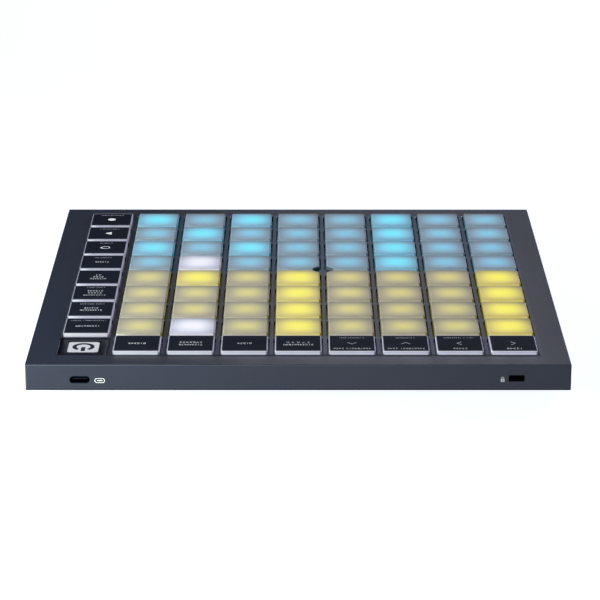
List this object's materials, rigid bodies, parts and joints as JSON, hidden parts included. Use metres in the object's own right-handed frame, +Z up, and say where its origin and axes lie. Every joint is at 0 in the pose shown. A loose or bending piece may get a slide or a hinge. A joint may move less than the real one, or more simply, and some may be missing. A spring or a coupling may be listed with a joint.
{
  "type": "pad controller",
  "caption": "Slim square pad controller for music: a grid of lit square pads that press down, function keys along two sides, a USB-C socket and a lock slot in the rear wall.",
  "frame": {"origin": "centre of the square case in plan, on the surface that the rubber feet stand on", "axes": "+Z up, out of the key panel; +Y to the rear wall with the socket, away from the player; +X to the player's right, the side of the function key column"},
  "size_m": [0.241, 0.241, 0.017],
  "materials": {
    "case_plastic": "fine matt moulded texture, dark blue-grey",
    "base_plastic": "matt moulded texture, near black",
    "pad_silicone": "milky translucent silicone, lit from below",
    "key_silicone": "translucent silicone with a dark printed top",
    "foot_rubber": "matt",
    "screw_steel": "black zinc",
    "board": "solder mask over glass fibre laminate",
    "chip_plastic": "moulded package",
    "led_lens": "white package with a clear lens",
    "film": "printed polyester film",
    "web_silicone": "milky silicone",
    "socket_steel": "steel shell, black plated",
    "plate_steel": "zinc plated",
    "window_plastic": "glossy dark frame round a white diffuser"
  },
  "bodies": {
    "case": {"top_case": "case_plastic", "base_cover": "base_plastic", "rubber_feet": "foot_rubber", "case_screws": "screw_steel", "main_board": "board", "board_chips": "chip_plastic", "key_leds": "led_lens", "sensor_film": "film", "keymat_web": "web_silicone", "usb_c_socket": "socket_steel", "lock_anchor_plate": "plate_steel", "corner_window": "window_plastic"},
    "pads_r1_c12": {"pads_r1_c12": "pad_silicone"},
    "pads_r1_c34": {"pads_r1_c34": "pad_silicone"},
    "pads_r1_c56": {"pads_r1_c56": "pad_silicone"},
    "pads_r1_c78": {"pads_r1_c78": "pad_silicone"},
    "pads_r2_c12": {"pads_r2_c12": "pad_silicone"},
    "pads_r2_c34": {"pads_r2_c34": "pad_silicone"},
    "pads_r2_c56": {"pads_r2_c56": "pad_silicone"},
    "pads_r2_c78": {"pads_r2_c78": "pad_silicone"},
    "pads_r3_c12": {"pads_r3_c12": "pad_silicone"},
    "pads_r3_c34": {"pads_r3_c34": "pad_silicone"},
    "pads_r3_c56": {"pads_r3_c56": "pad_silicone"},
    "pads_r3_c78": {"pads_r3_c78": "pad_silicone"},
    "pads_r4_c12": {"pads_r4_c12": "pad_silicone"},
    "pads_r4_c34": {"pads_r4_c34": "pad_silicone"},
    "pads_r4_c56": {"pads_r4_c56": "pad_silicone"},
    "pads_r4_c78": {"pads_r4_c78": "pad_silicone"},
    "pads_r5_c12": {"pads_r5_c12": "pad_silicone"},
    "pads_r5_c34": {"pads_r5_c34": "pad_silicone"},
    "pads_r5_c56": {"pads_r5_c56": "pad_silicone"},
    "pads_r5_c78": {"pads_r5_c78": "pad_silicone"},
    "pads_r6_c12": {"pads_r6_c12": "pad_silicone"},
    "pads_r6_c34": {"pads_r6_c34": "pad_silicone"},
    "pads_r6_c56": {"pads_r6_c56": "pad_silicone"},
    "pads_r6_c78": {"pads_r6_c78": "pad_silicone"},
    "pads_r7_c12": {"pads_r7_c12": "pad_silicone"},
    "pads_r7_c34": {"pads_r7_c34": "pad_silicone"},
    "pads_r7_c56": {"pads_r7_c56": "pad_silicone"},
    "pads_r7_c78": {"pads_r7_c78": "pad_silicone"},
    "pads_r8_c12": {"pads_r8_c12": "pad_silicone"},
    "pads_r8_c34": {"pads_r8_c34": "pad_silicone"},
    "pads_r8_c56": {"pads_r8_c56": "pad_silicone"},
    "pads_r8_c78": {"pads_r8_c78": "pad_silicone"},
    "rear_key_1": {"rear_key_1": "key_silicone"},
    "rear_key_2": {"rear_key_2": "key_silicone"},
    "rear_key_3": {"rear_key_3": "key_silicone"},
    "rear_key_4": {"rear_key_4": "key_silicone"},
    "rear_key_5": {"rear_key_5": "key_silicone"},
    "rear_key_6": {"rear_key_6": "key_silicone"},
    "rear_key_7": {"rear_key_7": "key_silicone"},
    "rear_key_8": {"rear_key_8": "key_silicone"},
    "side_key_1": {"side_key_1": "key_silicone"},
    "side_key_2": {"side_key_2": "key_silicone"},
    "side_key_3": {"side_key_3": "key_silicone"},
    "side_key_4": {"side_key_4": "key_silicone"},
    "side_key_5": {"side_key_5": "key_silicone"},
    "side_key_6": {"side_key_6": "key_silicone"},
    "side_key_7": {"side_key_7": "key_silicone"},
    "side_key_8": {"side_key_8": "key_silicone"}
  },
  "joints": [
    {"name": "pads_r1_c12_press", "type": "slide", "parent": "case", "child": "pads_r1_c12", "axis": [0, 0, -1], "range_m": [0, 0.001], "stiffness_N_per_m": 1400, "springref_m": -0.0005},
    {"name": "pads_r1_c34_press", "type": "slide", "parent": "case", "child": "pads_r1_c34", "axis": [0, 0, -1], "range_m": [0, 0.001], "stiffness_N_per_m": 1400, "springref_m": -0.0005},
    {"name": "pads_r1_c56_press", "type": "slide", "parent": "case", "child": "pads_r1_c56", "axis": [0, 0, -1], "range_m": [0, 0.001], "stiffness_N_per_m": 1400, "springref_m": -0.0005},
    {"name": "pads_r1_c78_press", "type": "slide", "parent": "case", "child": "pads_r1_c78", "axis": [0, 0, -1], "range_m": [0, 0.001], "stiffness_N_per_m": 1400, "springref_m": -0.0005},
    {"name": "pads_r2_c12_press", "type": "slide", "parent": "case", "child": "pads_r2_c12", "axis": [0, 0, -1], "range_m": [0, 0.001], "stiffness_N_per_m": 1400, "springref_m": -0.0005},
    {"name": "pads_r2_c34_press", "type": "slide", "parent": "case", "child": "pads_r2_c34", "axis": [0, 0, -1], "range_m": [0, 0.001], "stiffness_N_per_m": 1400, "springref_m": -0.0005},
    {"name": "pads_r2_c56_press", "type": "slide", "parent": "case", "child": "pads_r2_c56", "axis": [0, 0, -1], "range_m": [0, 0.001], "stiffness_N_per_m": 1400, "springref_m": -0.0005},
    {"name": "pads_r2_c78_press", "type": "slide", "parent": "case", "child": "pads_r2_c78", "axis": [0, 0, -1], "range_m": [0, 0.001], "stiffness_N_per_m": 1400, "springref_m": -0.0005},
    {"name": "pads_r3_c12_press", "type": "slide", "parent": "case", "child": "pads_r3_c12", "axis": [0, 0, -1], "range_m": [0, 0.001], "stiffness_N_per_m": 1400, "springref_m": -0.0005},
    {"name": "pads_r3_c34_press", "type": "slide", "parent": "case", "child": "pads_r3_c34", "axis": [0, 0, -1], "range_m": [0, 0.001], "stiffness_N_per_m": 1400, "springref_m": -0.0005},
    {"name": "pads_r3_c56_press", "type": "slide", "parent": "case", "child": "pads_r3_c56", "axis": [0, 0, -1], "range_m": [0, 0.001], "stiffness_N_per_m": 1400, "springref_m": -0.0005},
    {"name": "pads_r3_c78_press", "type": "slide", "parent": "case", "child": "pads_r3_c78", "axis": [0, 0, -1], "range_m": [0, 0.001], "stiffness_N_per_m": 1400, "springref_m": -0.0005},
    {"name": "pads_r4_c12_press", "type": "slide", "parent": "case", "child": "pads_r4_c12", "axis": [0, 0, -1], "range_m": [0, 0.001], "stiffness_N_per_m": 1400, "springref_m": -0.0005},
    {"name": "pads_r4_c34_press", "type": "slide", "parent": "case", "child": "pads_r4_c34", "axis": [0, 0, -1], "range_m": [0, 0.001], "stiffness_N_per_m": 1400, "springref_m": -0.0005},
    {"name": "pads_r4_c56_press", "type": "slide", "parent": "case", "child": "pads_r4_c56", "axis": [0, 0, -1], "range_m": [0, 0.001], "stiffness_N_per_m": 1400, "springref_m": -0.0005},
    {"name": "pads_r4_c78_press", "type": "slide", "parent": "case", "child": "pads_r4_c78", "axis": [0, 0, -1], "range_m": [0, 0.001], "stiffness_N_per_m": 1400, "springref_m": -0.0005},
    {"name": "pads_r5_c12_press", "type": "slide", "parent": "case", "child": "pads_r5_c12", "axis": [0, 0, -1], "range_m": [0, 0.001], "stiffness_N_per_m": 1400, "springref_m": -0.0005},
    {"name": "pads_r5_c34_press", "type": "slide", "parent": "case", "child": "pads_r5_c34", "axis": [0, 0, -1], "range_m": [0, 0.001], "stiffness_N_per_m": 1400, "springref_m": -0.0005},
    {"name": "pads_r5_c56_press", "type": "slide", "parent": "case", "child": "pads_r5_c56", "axis": [0, 0, -1], "range_m": [0, 0.001], "stiffness_N_per_m": 1400, "springref_m": -0.0005},
    {"name": "pads_r5_c78_press", "type": "slide", "parent": "case", "child": "pads_r5_c78", "axis": [0, 0, -1], "range_m": [0, 0.001], "stiffness_N_per_m": 1400, "springref_m": -0.0005},
    {"name": "pads_r6_c12_press", "type": "slide", "parent": "case", "child": "pads_r6_c12", "axis": [0, 0, -1], "range_m": [0, 0.001], "stiffness_N_per_m": 1400, "springref_m": -0.0005},
    {"name": "pads_r6_c34_press", "type": "slide", "parent": "case", "child": "pads_r6_c34", "axis": [0, 0, -1], "range_m": [0, 0.001], "stiffness_N_per_m": 1400, "springref_m": -0.0005},
    {"name": "pads_r6_c56_press", "type": "slide", "parent": "case", "child": "pads_r6_c56", "axis": [0, 0, -1], "range_m": [0, 0.001], "stiffness_N_per_m": 1400, "springref_m": -0.0005},
    {"name": "pads_r6_c78_press", "type": "slide", "parent": "case", "child": "pads_r6_c78", "axis": [0, 0, -1], "range_m": [0, 0.001], "stiffness_N_per_m": 1400, "springref_m": -0.0005},
    {"name": "pads_r7_c12_press", "type": "slide", "parent": "case", "child": "pads_r7_c12", "axis": [0, 0, -1], "range_m": [0, 0.001], "stiffness_N_per_m": 1400, "springref_m": -0.0005},
    {"name": "pads_r7_c34_press", "type": "slide", "parent": "case", "child": "pads_r7_c34", "axis": [0, 0, -1], "range_m": [0, 0.001], "stiffness_N_per_m": 1400, "springref_m": -0.0005},
    {"name": "pads_r7_c56_press", "type": "slide", "parent": "case", "child": "pads_r7_c56", "axis": [0, 0, -1], "range_m": [0, 0.001], "stiffness_N_per_m": 1400, "springref_m": -0.0005},
    {"name": "pads_r7_c78_press", "type": "slide", "parent": "case", "child": "pads_r7_c78", "axis": [0, 0, -1], "range_m": [0, 0.001], "stiffness_N_per_m": 1400, "springref_m": -0.0005},
    {"name": "pads_r8_c12_press", "type": "slide", "parent": "case", "child": "pads_r8_c12", "axis": [0, 0, -1], "range_m": [0, 0.001], "stiffness_N_per_m": 1400, "springref_m": -0.0005},
    {"name": "pads_r8_c34_press", "type": "slide", "parent": "case", "child": "pads_r8_c34", "axis": [0, 0, -1], "range_m": [0, 0.001], "stiffness_N_per_m": 1400, "springref_m": -0.0005},
    {"name": "pads_r8_c56_press", "type": "slide", "parent": "case", "child": "pads_r8_c56", "axis": [0, 0, -1], "range_m": [0, 0.001], "stiffness_N_per_m": 1400, "springref_m": -0.0005},
    {"name": "pads_r8_c78_press", "type": "slide", "parent": "case", "child": "pads_r8_c78", "axis": [0, 0, -1], "range_m": [0, 0.001], "stiffness_N_per_m": 1400, "springref_m": -0.0005},
    {"name": "rear_key_1_press", "type": "slide", "parent": "case", "child": "rear_key_1", "axis": [0, 0, -1], "range_m": [0, 0.001], "stiffness_N_per_m": 700, "springref_m": -0.0005},
    {"name": "rear_key_2_press", "type": "slide", "parent": "case", "child": "rear_key_2", "axis": [0, 0, -1], "range_m": [0, 0.001], "stiffness_N_per_m": 700, "springref_m": -0.0005},
    {"name": "rear_key_3_press", "type": "slide", "parent": "case", "child": "rear_key_3", "axis": [0, 0, -1], "range_m": [0, 0.001], "stiffness_N_per_m": 700, "springref_m": -0.0005},
    {"name": "rear_key_4_press", "type": "slide", "parent": "case", "child": "rear_key_4", "axis": [0, 0, -1], "range_m": [0, 0.001], "stiffness_N_per_m": 700, "springref_m": -0.0005},
    {"name": "rear_key_5_press", "type": "slide", "parent": "case", "child": "rear_key_5", "axis": [0, 0, -1], "range_m": [0, 0.001], "stiffness_N_per_m": 700, "springref_m": -0.0005},
    {"name": "rear_key_6_press", "type": "slide", "parent": "case", "child": "rear_key_6", "axis": [0, 0, -1], "range_m": [0, 0.001], "stiffness_N_per_m": 700, "springref_m": -0.0005},
    {"name": "rear_key_7_press", "type": "slide", "parent": "case", "child": "rear_key_7", "axis": [0, 0, -1], "range_m": [0, 0.001], "stiffness_N_per_m": 700, "springref_m": -0.0005},
    {"name": "rear_key_8_press", "type": "slide", "parent": "case", "child": "rear_key_8", "axis": [0, 0, -1], "range_m": [0, 0.001], "stiffness_N_per_m": 700, "springref_m": -0.0005},
    {"name": "side_key_1_press", "type": "slide", "parent": "case", "child": "side_key_1", "axis": [0, 0, -1], "range_m": [0, 0.001], "stiffness_N_per_m": 700, "springref_m": -0.0005},
    {"name": "side_key_2_press", "type": "slide", "parent": "case", "child": "side_key_2", "axis": [0, 0, -1], "range_m": [0, 0.001], "stiffness_N_per_m": 700, "springref_m": -0.0005},
    {"name": "side_key_3_press", "type": "slide", "parent": "case", "child": "side_key_3", "axis": [0, 0, -1], "range_m": [0, 0.001], "stiffness_N_per_m": 700, "springref_m": -0.0005},
    {"name": "side_key_4_press", "type": "slide", "parent": "case", "child": "side_key_4", "axis": [0, 0, -1], "range_m": [0, 0.001], "stiffness_N_per_m": 700, "springref_m": -0.0005},
    {"name": "side_key_5_press", "type": "slide", "parent": "case", "child": "side_key_5", "axis": [0, 0, -1], "range_m": [0, 0.001], "stiffness_N_per_m": 700, "springref_m": -0.0005},
    {"name": "side_key_6_press", "type": "slide", "parent": "case", "child": "side_key_6", "axis": [0, 0, -1], "range_m": [0, 0.001], "stiffness_N_per_m": 700, "springref_m": -0.0005},
    {"name": "side_key_7_press", "type": "slide", "parent": "case", "child": "side_key_7", "axis": [0, 0, -1], "range_m": [0, 0.001], "stiffness_N_per_m": 700, "springref_m": -0.0005},
    {"name": "side_key_8_press", "type": "slide", "parent": "case", "child": "side_key_8", "axis": [0, 0, -1], "range_m": [0, 0.001], "stiffness_N_per_m": 700, "springref_m": -0.0005}
  ]
}
